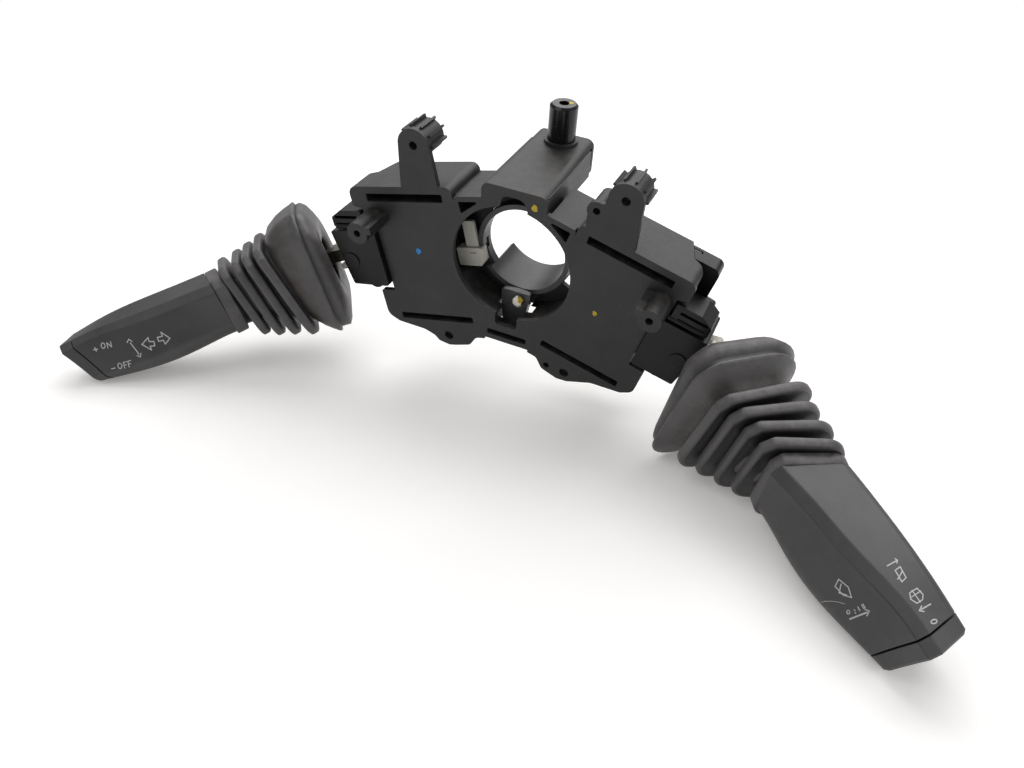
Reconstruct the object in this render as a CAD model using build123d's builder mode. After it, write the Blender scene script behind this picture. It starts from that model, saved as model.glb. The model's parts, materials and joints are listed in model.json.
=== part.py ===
from build123d import *
import os
from math import cos, radians, sin

os.makedirs("parts", exist_ok=True)

# Millimetres and degrees. Origin: centre of the column opening on the front face of the bracket.
# +X is to the driver's right, +Y runs away from the driver along the column, +Z is up.
# Every sided piece is drawn on the right and mirrored in X = 0 for the left.

# ---- bracket ----
OPENING_R = 25.0  # column opening in the front plate
BORE_R = 17.8  # inner collar that the steering column passes through
COLLAR_WALL = 2.2
COLLAR_FRONT_Y, COLLAR_BACK_Y, TROUGH_BACK_Y = 12.6, 19.6, 34.5
WING_DROOP = 14.5  # each wing hangs by this much below the horizontal
WING_TOP, WING_OUT, WING_IN = 32.5, 66.7, 19.0  # across and along the wing
PLATE = 2.2
WELL_R = OPENING_R + 1.4  # room behind the plate, round the column opening
OPENING_RELIEF = 0.8  # the opening widens behind the plate
OPENINGS_DEPTH = 9.0  # how deep the openings run into the walls behind the plate
KEYHOLE = (-0.3, 21.5, 12.0, 16.0, 4.4)  # notch above the opening: middle, width, height, corner
WALL = 1.8
SHELL_DEPTH = 24.5
STEP_U, STEP_Y = 60.6, 14.6  # where the wing's shell gets shallower
STEP_BACK_U, STEP_BACK_Y = 56.5, 27.0  # and where the step would end behind the shell
WINDOW_IN, WINDOW_HIGH, WINDOW_LOW = 58.2, 14.2, -14.8  # gap that the switch nose fills
SLOTS = ((23.7, 58.9, 27.8, 3.4), (22.9, 57.9, -27.0, 2.9))  # ends, height across the wing, width
SLOT_DEPTH, SLOT_WALL = 14.4, 1.5
CENTRE_SLOT = (0.0, -34.4, 17.6, 2.6)
CENTRE_SLOT_DEPTH = 6.2
EAR_X, EAR_Z, EAR_R, EAR_HOLE_R, EAR_DEPTH = 42.0, 39.8, 6.6, 1.7, 13.3
SMALL_EAR = (31.9, 33.1)
SMALL_EAR_R, SMALL_EAR_HOLE_R = 3.7, 1.4
BOSS_U, BOSS_V, BOSS_R, BOSS_HOLE_R, BOSS_REACH = 57.6, 18.8, 4.6, 1.5, 13.7
BOX_HALF, BOX_TOP, BOX_RISE, BOX_DEPTH = 13.4, 32.9, 1.6, 50.4
POST_Y, POST_R, POST_HEIGHT, POST_HOLE_R = 43.0, 5.6, 15.4, 2.1

# ---- switch modules, in wing coordinates u (outward) and v (up across the wing) ----
PIVOT_U, PIVOT_V, PIVOT_Y = 73.9, 0.0, 8.0
NOSE_FRONT, NOSE_BACK, NOSE_WALL = -2.4, 16.4, 1.6
CASE_IN, CASE_OUT, CASE_LOW, CASE_HIGH, CASE_FRONT, CASE_BACK = 33.0, 57.6, -22.0, 24.4, 4.0, 21.6
CASE_STEP_U, CASE_STEP_V = 50.4, 13.5
COVER_T = 1.8
PIN_R, RUNNING = 1.8, 0.05
HUB_R, HUB_HALF = 5.2, 6.6
CLEVIS_X, CLEVIS_GAP, CLEVIS_END = 9.5, 7.2, 3.6  # lever pin position, slot and reach past the pin
FINGER_X, FINGER_R = -22.0, 1.2
ARM_KNEE = 6.4  # the lever's bar leaves the clevis level as far as this
SLIDER_SIZE, SLIDER_NOTCH, NOTCH_SHIFT = (7.6, 12.0, 3.6), 4.6, 0.7
HOOD_GAP, HOOD_BACK = 0.1, 22.6  # hood behind the right wing

# ---- levers ----
NEUTRAL_DROOP = 12.4
REST_LIFT = {"left": -12.4, "right": 12.4}  # left latched down, right one step up
SWEEP = {"left": 37.5, "right": 47.2}  # towards the driver
GRIP_BASE = {"left": (65.5, -30.1, -2.5), "right": (56.2, -44.3, -9.9)}  # from the pivot
GRIP_BASE_TILT = 15.0
GRIP_SEAM = 8.2
CAP_LEAN_B, CAP_LEAN_C, CAP_STATION, CAP_LENGTH, CAP_GAP = -0.336, 0.52, 57.6, 5.6, 0.6
SPINDLE_R = 2.4

# Grip cross-sections along the lever: station, then front-low, bevel-low, bevel-high, back-high
# and back-low corners as (back, up), and the corner radii.
GRIP_SECTIONS = [
    (-6, [(-15, -12), (-13, 9), (-10, 12.3), (13.5, 13.3), (15, -12.5)], (6, 1.2, 1.2, 5, 6)),
    (5, [(-15.2, -12), (-12.4, 8.8), (-9.4, 12.3), (13.4, 13.3), (14.6, -12.5)], (6, 1.2, 1.2, 5, 6)),
    (20, [(-17.5, -13), (-10.6, 8.8), (-7.6, 12), (12.5, 13.4), (13.5, -12.5)], (6, 1, 1, 4, 6)),
    (38, [(-16, -12.5), (-9, 9), (-6, 12), (11, 14), (12.5, -12)], (5, 1, 1, 4, 6)),
    (50, [(-13.5, -11), (-7.4, 9.4), (-4.4, 12), (10, 13.6), (11.5, -11.4)], (4, 1, 1, 4, 5)),
    (62, [(-11, -9.5), (-6.8, 9), (-3.8, 11.6), (9, 11.8), (10.2, -10)], (3, 1, 1, 3.4, 4)),
    (78, [(-9, -8), (-6.5, 8.6), (-3.5, 11), (8, 10.6), (9, -9)], (3, 1, 1, 3, 4)),
]

# Boot rings from the collar to the bell: station, width, height, shift back, shift up, tilt.
BOOT_RINGS = [
    (-9.7, 32.5, 31.0, 1.0, -1.6, 12.0),
    (-16.9, 36.0, 34.5, 0.0, -1.8, 8.5),
    (-24.0, 40.0, 38.0, -2.6, -0.7, 7.0),
    (-30.8, 43.6, 41.0, -4.6, 0.6, 6.0),
]
RING_T, RING_DEPTH = 3.2, 3.8
# Bell and closing lip of the boot: station and width. Both are 2 mm less high than wide.
BELL = [(-33.9, 39.0), (-35.5, 43.0), (-37.3, 46.6), (-39.3, 49.6), (-41.6, 52.2), (-43.8, 53.7), (-46.0, 54.2)]
LIP = [(-48.4, 51.0), (-49.4, 52.0), (-51.2, 51.5), (-53.0, 48.3), (-54.4, 43.5), (-55.2, 37.5)]
BELL_SHIFT = (-4.6, 0.9)


def wing(u, v):
    """Row X and Z of a point of the right wing."""
    a = radians(WING_DROOP)
    return (u * cos(a) + v * sin(a), v * cos(a) - u * sin(a))


def wing_plane(y):
    """Plane across the column at depth y, with local x along the right wing and y up across it."""
    a = radians(WING_DROOP)
    return Plane(origin=(0, y, 0), x_dir=(cos(a), 0, -sin(a)), z_dir=(0, -1, 0))


def front_plane(y):
    """Plane across the column at depth y, with local x = X and y = Z."""
    return Plane(origin=(0, y, 0), x_dir=(1, 0, 0), z_dir=(0, -1, 0))


def lever_axes(side):
    droop = radians(NEUTRAL_DROOP - REST_LIFT[side])
    return Vector(cos(droop), 0, -sin(droop)), Vector(sin(droop), 0, cos(droop))


def pivot_point():
    x, z = wing(PIVOT_U, PIVOT_V)
    return Vector(x, PIVOT_Y, z)


def yoke_plane(side, y=0.0):
    """Plane across the lever's up-and-down axis, local x out along the lever, y up."""
    out, _ = lever_axes(side)
    return Plane(origin=pivot_point() + Vector(0, y, 0), x_dir=out, z_dir=(0, -1, 0))


def clevis_plane(side, up=0.0):
    """Plane across the lever's push-pull axis, local x out along the lever, y away from the driver."""
    out, lift = lever_axes(side)
    return Plane(origin=pivot_point() + out * CLEVIS_X + lift * up, x_dir=out, z_dir=lift)


def grip_plane(side, station=0.0, tilt=0.0):
    """Plane across the grip, local x to the back of the grip and y to its top, z to its tip."""
    out, lift = lever_axes(side)
    away = Vector(0, 1, 0)
    s = radians(SWEEP[side])
    along = out * cos(s) - away * sin(s)
    back = out * sin(s) + away * cos(s)
    x, y, z = GRIP_BASE[side]
    origin = pivot_point() + out * x + away * y + lift * z + along * station
    t = radians(tilt)
    return Plane(origin=origin, x_dir=back * cos(t) + along * sin(t), z_dir=along * cos(t) - back * sin(t))


def cap_plane(side, extra=0.0):
    """The slanted face between grip and end cap."""
    base = grip_plane(side)
    normal = (base.z_dir - base.x_dir * CAP_LEAN_B - base.y_dir * CAP_LEAN_C).normalized()
    origin = base.origin + base.z_dir * CAP_STATION + normal * extra
    return Plane(origin=origin, x_dir=base.y_dir.cross(normal), z_dir=normal)


def closed_outline(points, radii, mode=Mode.ADD):
    """Rounded polygon, added to the current sketch."""
    with BuildLine(Plane.XY) as border:
        FilletPolyline(*points, radius=radii, close=True)
    make_face(border.edges(), mode=mode)


def save(piece, name):
    piece.part.label = name
    export_step(piece.part, f"parts/{name}.step")


def save_side(piece, side, name):
    if side == "left":
        with BuildPart() as flipped:
            mirror(piece.part, about=Plane.YZ)
        piece = flipped
    save(piece, f"{side}_{name}")


# ---------------------------------------------------------------- bracket housing
WING_OUTLINE = [
    wing(WING_IN, WING_TOP), wing(WING_OUT, WING_TOP), wing(WING_OUT, 24.0), wing(62.4, 23.0),
    wing(62.4, WINDOW_HIGH), wing(WINDOW_IN, WINDOW_HIGH), wing(WINDOW_IN, WINDOW_LOW),
    wing(65.0, WINDOW_LOW), wing(65.0, -26.9), wing(60.5, -30.2), (38.4, -44.4), (28.1, -47.6),
    (23.6, -47.8), (16.5, -45.0), (13.8, -40.2), (9.7, -39.1), (9.7, -20.0), (22.0, 10.0),
]
WING_RADII = [3, 3.5, 1, 1, 1, 0.5, 0.5, 1, 4, 3, 5, 2, 2, 3, 3, 0.5, 0.5, 0.5]
CAVITY_OUTLINE = [
    wing(WING_IN + 8, WING_TOP - WALL), wing(70, WING_TOP - WALL), wing(70, -27.5),
    wing(59, -27.5), (38.0, -42.0), (26.0, -42.0), (24.5, -30.0), (29.0, -16.0), (33.0, 0.0), (31.0, 10.0),
]


def bracket_plate():
    """Flat front of the bracket, with its ears, lobes and holes, in the current sketch."""
    closed_outline(WING_OUTLINE, WING_RADII)
    closed_outline([(31.0, 22.0), (47.8, 18.0), (48.6, EAR_Z), (EAR_X - EAR_R, EAR_Z)], 0.4)
    with Locations((EAR_X, EAR_Z)):
        Circle(EAR_R)
    mirror(about=Plane.YZ)
    with Locations(SMALL_EAR):
        Circle(SMALL_EAR_R)
    closed_outline([(28.6, 31.0), (28.4, 25.0), (38.0, 24.0), (36.0, 36.5), (33.0, 36.6)], 0.3)
    closed_outline([(-20.5, -42.0), (-22.5, -47.4), (-26.3, -48.6), (-31.2, -48.0), (-35.5, -44.0)], 1.5)
    closed_outline(
        [(-BOX_HALF, BOX_TOP), (BOX_HALF, BOX_TOP), (BOX_HALF, 26.3), (25.0, 23.3), (26.0, -38.0),
         (-26.0, -38.0), (-25.0, 23.3), (-BOX_HALF, 26.3)],
        [3.2, 3.2, 0.6, 0.6, 1, 1, 0.6, 0.6],
    )


def column_openings(radius):
    """The column opening with its keyhole and the notch for the collar's arm, in the current sketch."""
    Circle(radius)
    middle_x, middle_z, width, height, corner = KEYHOLE
    with Locations((middle_x, middle_z)):
        RectangleRounded(width, height, corner)
    with Locations((-0.6, -24.7)):
        RectangleRounded(9.6, 10.0, 1.6)
    for sign in (-1, 1):
        closed_outline([(sign * 23.1, 21.6), (sign * 14.0, 24.0), (sign * 21.7, 16.9)], 0.5)


def slots(grow=0.0):
    """The long slots of both wings in the current sketch, grown on every side for the walls around them."""
    for start, end, v, width in SLOTS:
        for sign in (-1, 1):
            x, z = wing((start + end) / 2, v)
            with Locations((sign * x, z)):
                RectangleRounded(end - start + 2 * grow, width + 2 * grow, 0.5, rotation=-sign * WING_DROOP)


def screw_holes():
    """The small holes of the front plate, cut from the current sketch."""
    for sign in (-1, 1):
        with Locations((sign * EAR_X, EAR_Z)):
            Circle(EAR_HOLE_R, mode=Mode.SUBTRACT)
        with Locations((sign * 26.6, -43.6)):
            Circle(2.0, mode=Mode.SUBTRACT)
    with Locations(SMALL_EAR):
        Circle(SMALL_EAR_HOLE_R, mode=Mode.SUBTRACT)
    with Locations((18.6, -42.6)):
        Circle(1.3, mode=Mode.SUBTRACT)


with BuildPart() as bracket_housing:
    # Wing shells behind the plate, open at the back.
    with BuildSketch(front_plane(PLATE)) as shell:
        closed_outline(WING_OUTLINE, WING_RADII)
        mirror(about=Plane.YZ)
        with BuildLine():
            Polyline((-13.8, 26.2), (13.8, 26.2), (26, 23), (27, -37), (-27, -37), (-26, 23), close=True)
        make_face()
    extrude(amount=-(SHELL_DEPTH - PLATE))
    with BuildSketch(front_plane(PLATE)) as hollow:
        closed_outline(CAVITY_OUTLINE, 1)
        mirror(about=Plane.YZ)
        Circle(WELL_R)
        with Locations((0, -32)):
            RectangleRounded(26, 12, 1.5)
    extrude(amount=-SHELL_DEPTH, mode=Mode.SUBTRACT)
    # Walls around the blind slots.
    with BuildSketch(front_plane(PLATE)) as slot_walls:
        slots(grow=SLOT_WALL)
    extrude(amount=-(SLOT_DEPTH + SLOT_WALL - PLATE))
    with BuildSketch(front_plane(PLATE)) as centre_slot_walls:
        with Locations(CENTRE_SLOT[:2]):
            Rectangle(CENTRE_SLOT[2] + 2 * SLOT_WALL, CENTRE_SLOT[3] + 2 * SLOT_WALL)
    extrude(amount=-(CENTRE_SLOT_DEPTH + SLOT_WALL - PLATE))
    # The outer end of each wing is shallower, rounded in plan.
    with BuildSketch(Plane(origin=(0, 0, 0), x_dir=wing_plane(0).x_dir, z_dir=wing_plane(0).y_dir)):
        closed_outline(
            [(67.5, 8.0), (64.6, 12.4), (STEP_U, STEP_Y), (STEP_BACK_U, STEP_BACK_Y), (80.0, 27.0), (80.0, 8.0)],
            [0.5, 0.5, 0.1, 0.5, 0.5, 0.5],
        )
    step = extrude(amount=40, mode=Mode.SUBTRACT)
    mirror(step, about=Plane.YZ, mode=Mode.SUBTRACT)
    # Window in the left wall of the opening for the cancelling pawl.
    with BuildSketch(wing_plane(PLATE)) as pawl_window:
        with Locations((27.0, 2.6)):
            RectangleRounded(13.6, 21.4, 1.0)
    window = extrude(amount=-14.8, mode=Mode.PRIVATE)
    mirror(window, about=Plane.YZ, mode=Mode.SUBTRACT)
    # Centre box that carries the clamp post.
    with BuildSketch(front_plane(0)) as box_front:
        closed_outline(
            [(-BOX_HALF, BOX_TOP), (BOX_HALF, BOX_TOP), (BOX_HALF, 20.5), (-BOX_HALF, 20.5)], [3.2, 3.2, 1, 1]
        )
    with BuildSketch(front_plane(BOX_DEPTH)) as box_back:
        closed_outline(
            [(-12.2, BOX_TOP + BOX_RISE), (12.2, BOX_TOP + BOX_RISE), (12.2, 20.5), (-12.2, 20.5)], [3.2, 3.2, 1, 1]
        )
    loft(ruled=True)
    with BuildSketch(Plane.YZ.offset(-BOX_HALF - 1)) as box_under:
        with BuildLine():
            Polyline((PLATE, 30.6), (BOX_DEPTH - 1.8, 32.2), (BOX_DEPTH - 1.8, 24.5), (40.0, 21.0),
                     (34.0, 19.0), (PLATE, 19.0), close=True)
        make_face()
    extrude(amount=2 * BOX_HALF + 2, mode=Mode.SUBTRACT)
    with BuildSketch(front_plane(PLATE)) as box_sides:
        for sign in (-1, 1):
            with Locations((sign * (BOX_HALF - 1.3), 26.4)):
                Rectangle(1.8, 11.0)
    extrude(amount=-(BOX_DEPTH - PLATE - 5))
    # Front plate.
    with BuildSketch(front_plane(0)) as plate:
        bracket_plate()
        screw_holes()
    extrude(amount=-PLATE)
    with BuildSketch(front_plane(0)) as openings:
        column_openings(OPENING_R)
    extrude(amount=-PLATE, mode=Mode.SUBTRACT)
    with BuildSketch(front_plane(PLATE)) as behind_openings:
        column_openings(OPENING_R + OPENING_RELIEF)
    extrude(amount=-(OPENINGS_DEPTH - PLATE), mode=Mode.SUBTRACT)
    with BuildSketch(front_plane(0)) as deep_slots:
        slots()
    extrude(amount=-SLOT_DEPTH, mode=Mode.SUBTRACT)
    with BuildSketch(front_plane(0)) as centre_slot:
        with Locations(CENTRE_SLOT[:2]):
            RectangleRounded(CENTRE_SLOT[2], CENTRE_SLOT[3], 1.0)
    extrude(amount=-CENTRE_SLOT_DEPTH, mode=Mode.SUBTRACT)
    # Floor of the annular well, which carries the collar.
    with BuildSketch(front_plane(17.4)) as well:
        Circle(WELL_R + 1.0)
        Circle(BORE_R + COLLAR_WALL, mode=Mode.SUBTRACT)
        with PolarLocations(22.9, 2, start_angle=-28, angular_range=42):
            Rectangle(5.0, 8.0, mode=Mode.SUBTRACT)
    extrude(amount=-2.0)
    # Room for the collar's arm below the opening.
    with BuildSketch(front_plane(8.8)) as arm_room:
        with Locations((-0.4, -23.0)):
            Rectangle(15.2, 7.6)
    extrude(amount=-4.8, mode=Mode.SUBTRACT)
    # Ear bosses with their small stiffening fins, and the lobe bosses.
    with BuildSketch(front_plane(PLATE)) as ears:
        for sign in (-1, 1):
            with Locations((sign * EAR_X, EAR_Z)):
                Circle(EAR_R - 0.6)
                with PolarLocations(EAR_R - 0.4, 5, start_angle=0, angular_range=180):
                    Rectangle(2.4, 0.9)
                Circle(EAR_HOLE_R, mode=Mode.SUBTRACT)
        with Locations(SMALL_EAR):
            Circle(SMALL_EAR_R - 0.7)
            Circle(SMALL_EAR_HOLE_R, mode=Mode.SUBTRACT)
    extrude(amount=-(EAR_DEPTH - PLATE))
    # Screw bosses for the column shroud, standing out of the front.
    with BuildSketch(wing_plane(SHELL_DEPTH * 0.5)) as bosses:
        with Locations((BOSS_U, BOSS_V)):
            Circle(BOSS_R)
        with Locations((BOSS_U - 3.4, BOSS_V + 1.0)):
            Rectangle(6.4, 3.0)
    boss_solid = extrude(amount=BOSS_REACH + SHELL_DEPTH * 0.5)
    mirror(boss_solid, about=Plane.YZ)
    with BuildSketch(wing_plane(-BOSS_REACH)) as boss_holes:
        with Locations((BOSS_U, BOSS_V)):
            Circle(BOSS_HOLE_R)
    boss_hole = extrude(amount=-11, mode=Mode.SUBTRACT)
    mirror(boss_hole, about=Plane.YZ, mode=Mode.SUBTRACT)
    # Raised ring round the foot of the clamp post, and the post's hole in the roof of the box.
    with BuildSketch(Plane.XY.offset(BOX_TOP + 0.6)) as post_ring:
        with Locations((0.6, POST_Y)):
            Circle(POST_R + 1.2)
            Circle(POST_R + 0.1, mode=Mode.SUBTRACT)
    extrude(amount=BOX_RISE + 0.4)
    with BuildSketch(Plane.XY.offset(20)) as post_seat:
        with Locations((0.6, POST_Y)):
            Circle(3.0)
    extrude(amount=20, mode=Mode.SUBTRACT)
save(bracket_housing, "bracket_housing")


# ---------------------------------------------------------------- column collar and clamp
with BuildPart() as column_collar:
    with BuildSketch(front_plane(COLLAR_FRONT_Y)) as tube:
        Circle(BORE_R + COLLAR_WALL - 0.1)
        Circle(BORE_R, mode=Mode.SUBTRACT)
    extrude(amount=-(COLLAR_BACK_Y - COLLAR_FRONT_Y))
    with BuildSketch(front_plane(COLLAR_BACK_Y)) as trough:
        Circle(BORE_R + COLLAR_WALL - 0.1)
        Circle(BORE_R + 0.4, mode=Mode.SUBTRACT)
        with BuildLine():
            Polyline((0, 0), (-30, -27), (-30, -45), (30, -45), (30, -14), close=True)
        make_face(mode=Mode.INTERSECT)
    extrude(amount=-(TROUGH_BACK_Y - COLLAR_BACK_Y))
    with BuildSketch(front_plane(COLLAR_FRONT_Y - 3.2)) as arm:
        closed_outline([(-7.2, -18.0), (6.0, -18.0), (4.2, -27.0), (3.0, -34.5), (-6.0, -34.5), (-6.8, -27.0)], 1.2)
        with Locations((0.6, -21.8)):
            Circle(1.3, mode=Mode.SUBTRACT)
    extrude(amount=-3.6)
    with BuildSketch(wing_plane(COLLAR_FRONT_Y - 1)) as pawl_notch:
        with Locations((18.0, -3.2)):
            Rectangle(6.0, 9.2)
    notch = extrude(amount=-4.4, mode=Mode.PRIVATE)
    mirror(notch, about=Plane.YZ, mode=Mode.SUBTRACT)
    with BuildSketch(Plane.YZ.offset(-BORE_R - 4)) as slit:
        with Locations((16.6, -3.0)):
            Rectangle(2.0, 4.4)
    extrude(amount=6, mode=Mode.SUBTRACT)
save(column_collar, "column_collar")

with BuildPart() as collar_screw:
    with BuildSketch(front_plane(COLLAR_FRONT_Y - 3.2)) as head:
        with Locations((0.6, -21.8)):
            Circle(2.7)
    extrude(amount=2.0)
    fillet(collar_screw.faces().sort_by(Axis.Y)[0].edges(), 1.0)
    with BuildSketch(front_plane(COLLAR_FRONT_Y - 3.2)) as shank:
        with Locations((0.6, -21.8)):
            Circle(1.25)
    extrude(amount=-3.6)
save(collar_screw, "collar_screw")

with BuildPart() as clamp_post:
    with BuildSketch(Plane.XY.offset(BOX_TOP + BOX_RISE + 0.1)) as post:
        with Locations((0.6, POST_Y)):
            Circle(POST_R)
    extrude(amount=POST_HEIGHT)
    chamfer(clamp_post.faces().sort_by(Axis.Z)[-1].edges(), 0.9)
    with BuildSketch(Plane.XY.offset(30.0)) as neck:
        with Locations((0.6, POST_Y)):
            Circle(2.9)
    extrude(amount=6)
    with BuildSketch(Plane.XY.offset(BOX_TOP + BOX_RISE + 0.1 + POST_HEIGHT)) as post_hole:
        with Locations((0.6, POST_Y)):
            Circle(POST_HOLE_R)
    extrude(amount=-11, mode=Mode.SUBTRACT)
save(clamp_post, "clamp_post")

with BuildPart() as clamp_nut:
    with BuildSketch(Plane.XY.offset(26.2)) as nut:
        with Locations((0.6, POST_Y)):
            RegularPolygon(5.4, 6)
            Circle(2.95, mode=Mode.SUBTRACT)
    extrude(amount=5.4)
save(clamp_nut, "clamp_nut")


# ---------------------------------------------------------------- turn cancelling pawl
with BuildPart() as cancel_pawl:
    with BuildSketch(wing_plane(11.2)) as pawl:
        closed_outline([(18.2, 0.9), (18.2, -5.4), (19.8, -7.2), (30.0, -7.2), (30.0, 0.9)], 0.8)
    extrude(amount=-4.4)
    with BuildSketch(wing_plane(11.2)) as pawl_slit:
        with Locations((22.6, -1.2)):
            SlotOverall(3.2, 0.8)
    extrude(amount=-0.8, mode=Mode.SUBTRACT)
with BuildPart() as cancel_arm:
    with BuildSketch(wing_plane(12.4)) as strip:
        closed_outline([(19.9, 1.0), (25.6, 1.0), (25.3, 12.4), (20.0, 12.4)], 0.5)
    extrude(amount=-1.4)
with BuildPart() as cancel_spring:
    with BuildSketch(wing_plane(15.95)) as leaf:
        closed_outline([(21.0, -1.0), (32.95, -1.0), (32.95, -5.4), (21.0, -4.2)], 0.6)
    extrude(amount=-0.5)
save_side(cancel_pawl, "left", "cancel_pawl")
save_side(cancel_arm, "left", "cancel_arm")
save_side(cancel_spring, "left", "cancel_spring")


# ---------------------------------------------------------------- switch modules
def case_outline(inset=0.0):
    """Switch case across the column, stepped round the shroud's screw boss."""
    low, high, left = CASE_LOW + inset, CASE_HIGH - inset, CASE_IN + inset
    return [(left, low), (left, high), (CASE_STEP_U - inset, high), (CASE_STEP_U - inset, CASE_STEP_V - inset),
            (CASE_OUT - inset, CASE_STEP_V - inset), (CASE_OUT - inset, low)]


def module_case(side):
    """Switch case: the body behind the wing, and the nose that stands in the wing's gap."""
    with BuildPart() as case:
        with BuildSketch(wing_plane(CASE_FRONT)):
            closed_outline(case_outline(), 1.5)
        extrude(amount=-(CASE_BACK - CASE_FRONT))
        with BuildSketch(wing_plane(NOSE_FRONT)):
            closed_outline(
                [(58.6, WINDOW_LOW + 3.3), (58.6, WINDOW_HIGH - 0.5), (80.5, 13.7), (76.4, -11.3)],
                [1.2, 1.0, 1.0, 1.0],
            )
        extrude(amount=-(NOSE_BACK - NOSE_FRONT))
        with BuildSketch(wing_plane(CASE_FRONT)):
            closed_outline([(54.0, -11.3), (54.0, 13.5), (60.0, 13.5), (60.0, -11.3)], 0.4)
        extrude(amount=-(NOSE_BACK - CASE_FRONT))
        # Hollow of the body, closed by the cover, and of the nose, open at its outer end.
        with BuildSketch(wing_plane(CASE_FRONT + NOSE_WALL)):
            closed_outline(case_outline(NOSE_WALL), 1)
        extrude(amount=-CASE_BACK, mode=Mode.SUBTRACT)
        with BuildSketch(wing_plane(CASE_FRONT + NOSE_WALL)):
            closed_outline([(50.0, -9.7), (50.0, 11.9), (62.0, 11.9), (62.0, -9.7)], 0.5)
        extrude(amount=-(NOSE_BACK - NOSE_WALL - CASE_FRONT - NOSE_WALL), mode=Mode.SUBTRACT)
        with BuildSketch(wing_plane(NOSE_FRONT + NOSE_WALL)):
            closed_outline([(60.2, -9.7), (60.2, 11.9), (86.0, 11.9), (86.0, -9.7)], 0.5)
        extrude(amount=-(NOSE_BACK - NOSE_FRONT - 2 * NOSE_WALL), mode=Mode.SUBTRACT)
        # Round boss over the pivot pin on the front, and the pin's seats in both walls.
        with BuildSketch(wing_plane(NOSE_FRONT - 0.5)):
            with Locations((PIVOT_U, PIVOT_V)):
                Circle(3.6)
        extrude(amount=-0.6)
        with BuildSketch(wing_plane(NOSE_FRONT + 0.6)):
            with Locations((PIVOT_U, PIVOT_V)):
                Circle(PIN_R + 0.02)
        extrude(amount=-(NOSE_BACK - NOSE_FRONT), mode=Mode.SUBTRACT)
        # Half-round tab below the nose.
        with BuildSketch(wing_plane(2.0)):
            with Locations((68.5, -11.0)):
                Circle(4.2)
            with Locations((68.5, -6.0)):
                Rectangle(12, 10, mode=Mode.SUBTRACT)
        extrude(amount=-5)
        # Detent wall, which also guides the contact slider.
        with BuildSketch(wing_plane(CASE_FRONT + 1)):
            with Locations((PIVOT_U + FINGER_X - 5.9, PIVOT_V)):
                Rectangle(1.2, 34)
        extrude(amount=-11.8)
        if side == "right":
            # Hood behind the wing's outer end, flush with its top, and the hood's lower step.
            start = CASE_OUT + 0.1
            with BuildSketch(wing_plane(STEP_Y + HOOD_GAP)):
                closed_outline([(start, 14.0), (start, WING_TOP), (71.7, WING_TOP), (71.7, 14.0)],
                               [0.5, 0.1, 3.0, 0.5])
            extrude(amount=-(HOOD_BACK - STEP_Y - HOOD_GAP))
            plan = Plane(origin=(0, 0, 0), x_dir=wing_plane(0).x_dir, z_dir=wing_plane(0).y_dir)
            with BuildSketch(plan.offset(13.8)):
                with BuildLine():
                    Polyline((start - 0.1, STEP_Y), (STEP_U + HOOD_GAP, STEP_Y), (STEP_U + HOOD_GAP, STEP_Y + 0.2),
                             (start - 0.1, SHELL_DEPTH - 0.4), close=True)
                make_face()
            extrude(amount=20, mode=Mode.SUBTRACT)
            with BuildSketch(wing_plane(NOSE_BACK - 1.5)):
                closed_outline([(61.0, 4.0), (61.0, 16.0), (76.2, 15.0), (76.2, 4.0)], [0.5, 0.5, 1.5, 0.5])
            extrude(amount=-(HOOD_BACK - NOSE_BACK + 1.5))
            # Slit in the hood's top, where the wing's tongue hooks in.
            with BuildSketch(plan.offset(WING_TOP - 1.6)):
                with Locations((60.2, 20.9)):
                    Rectangle(4.5, 0.5)
                with Locations((62.2, 20.3)):
                    Rectangle(0.5, 1.7)
            extrude(amount=3.0, mode=Mode.SUBTRACT)
    return case


def module_clip(side):
    """Snap clip above the nose that locks the module into the bracket."""
    with BuildPart() as clip:
        with BuildSketch(wing_plane(-1.2)):
            closed_outline([(63.4, 15.0), (63.4, 22.4), (73.5, 22.4), (78.6, 19.4), (78.6, 15.0)], 0.8)
        extrude(amount=-12)
        with BuildSketch(wing_plane(-1.2)):
            with Locations((71.5, 16.2), (71.5, 19.4)):
                Rectangle(11.0, 1.3)
        extrude(amount=-4, mode=Mode.SUBTRACT)
        with BuildSketch(wing_plane(0.8)):
            with Locations((76.4, 17.6)):
                Rectangle(2.2, 1.6)
        extrude(amount=-14, mode=Mode.SUBTRACT)
        with BuildSketch(Plane(origin=wing_plane(-0.6).from_local_coords((62.6, 15.2, 0)),
                               x_dir=(0, 1, 0), z_dir=wing_plane(0).x_dir)):
            Circle(1.1)
        extrude(amount=15.1)
    return clip


def module_cover():
    """Rear lid of the switch case, with stiffening ribs."""
    with BuildPart() as cover:
        with BuildSketch(wing_plane(CASE_BACK + 0.05)):
            closed_outline(case_outline(), 1.5)
        extrude(amount=-COVER_T)
        with BuildSketch(wing_plane(CASE_BACK + COVER_T)):
            with GridLocations(0, 8.0, 1, 5):
                with Locations(((CASE_IN + CASE_STEP_U) / 2, 2.0)):
                    Rectangle(14.0, 1.0)
        extrude(amount=-1.2)
    return cover


def contact_board():
    with BuildPart() as board:
        with BuildSketch(wing_plane(19.2)):
            closed_outline(case_outline(NOSE_WALL + 0.4), 0.8)
        extrude(amount=-1.4)
    return board


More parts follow.
